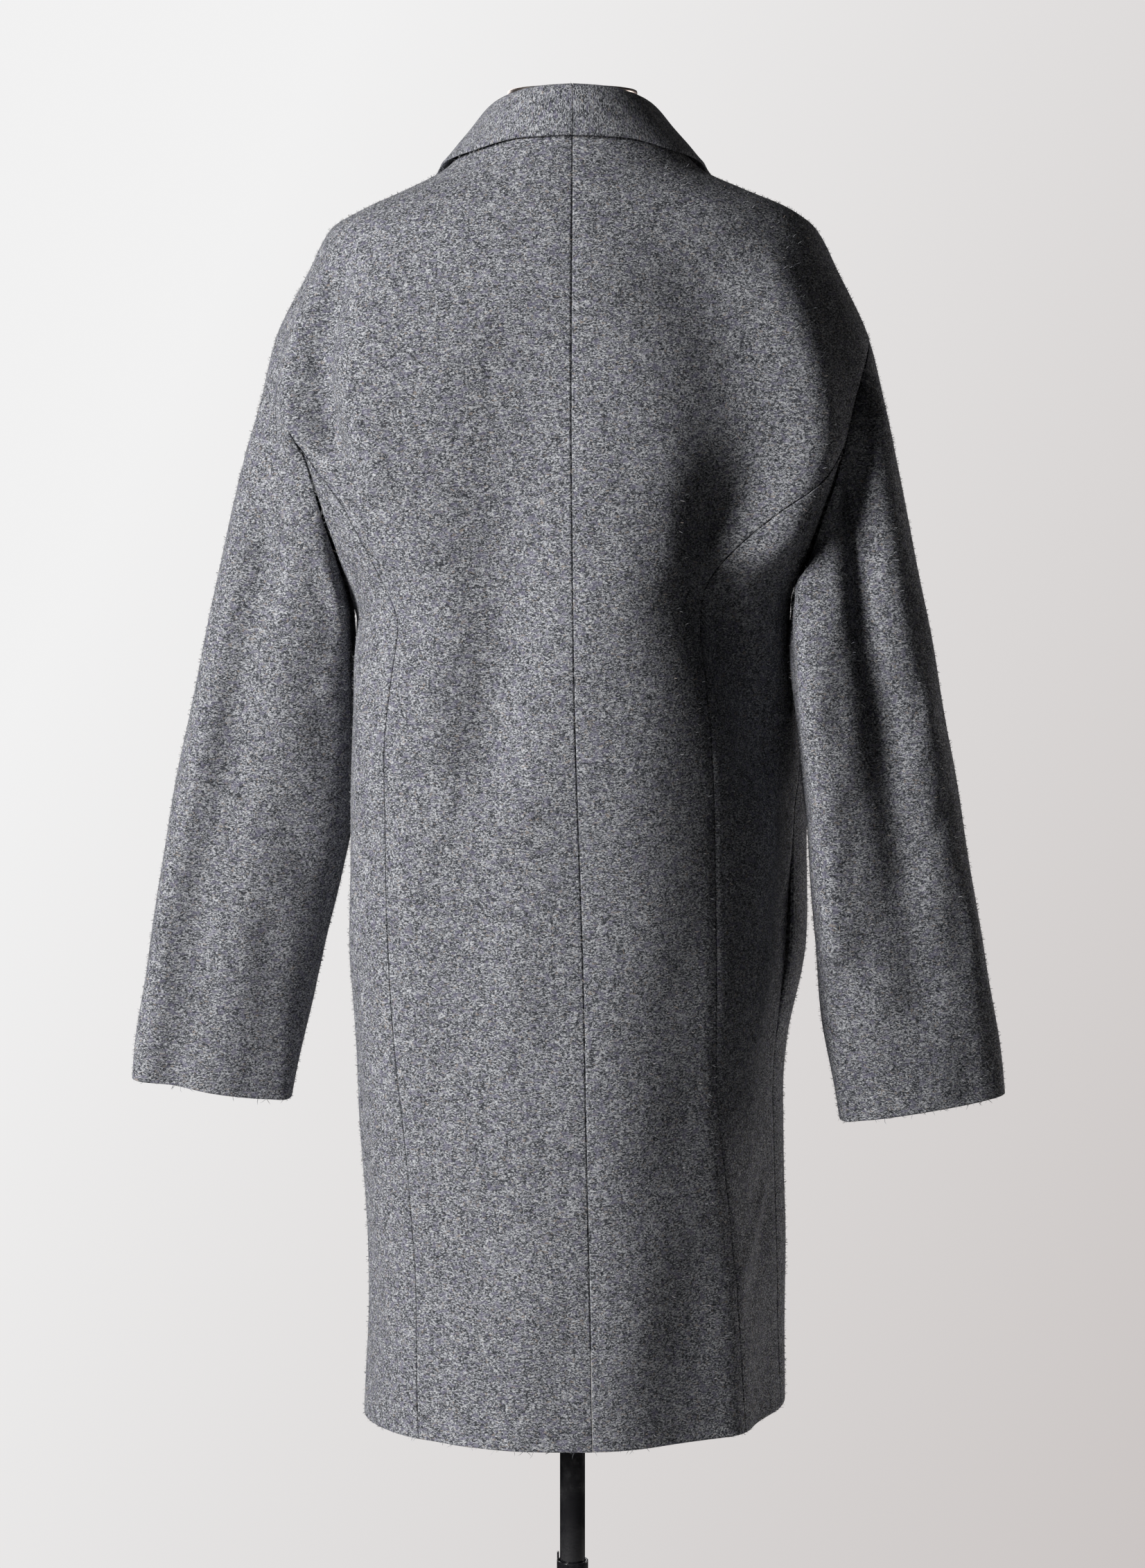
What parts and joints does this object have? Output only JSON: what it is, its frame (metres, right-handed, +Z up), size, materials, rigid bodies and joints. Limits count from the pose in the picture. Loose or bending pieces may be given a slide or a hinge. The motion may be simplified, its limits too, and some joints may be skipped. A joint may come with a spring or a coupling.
{
  "type": "long coat on a dress form with a telescopic stand",
  "caption": "Knee-length wool coat with a shawl collar, dropped shoulders and long wide sleeves, hung on a limbless dress form on a telescopic stand.",
  "frame": {"origin": "on the floor under the middle of the pole, at the middle of the base's underside", "axes": "+Z up along the pole, the coat's front faces -Y and the wearer's left is at +X"},
  "size_m": [0.689, 0.35, 1.5578],
  "materials": {
    "wool": "brushed melange wool with a soft nap",
    "linen": "plain linen cover",
    "steel": "satin metal plate",
    "black": "gloss black enamel"
  },
  "bodies": {
    "stand": {"base": "black", "tube": "black", "clamp_screw": "black"},
    "figure": {"back_left": "wool", "back_right": "wool", "side_left": "wool", "side_right": "wool", "front_left": "wool", "front_right": "wool", "sleeve_left": "wool", "sleeve_right": "wool", "collar_left": "wool", "collar_right": "wool", "torso": "linen", "neck_cap": "steel", "pole": "black"}
  },
  "joints": [
    {"name": "pole_slide", "type": "slide", "parent": "stand", "child": "figure", "axis": [0, 0, 1], "range_m": [-0.12, 0.12]}
  ]
}
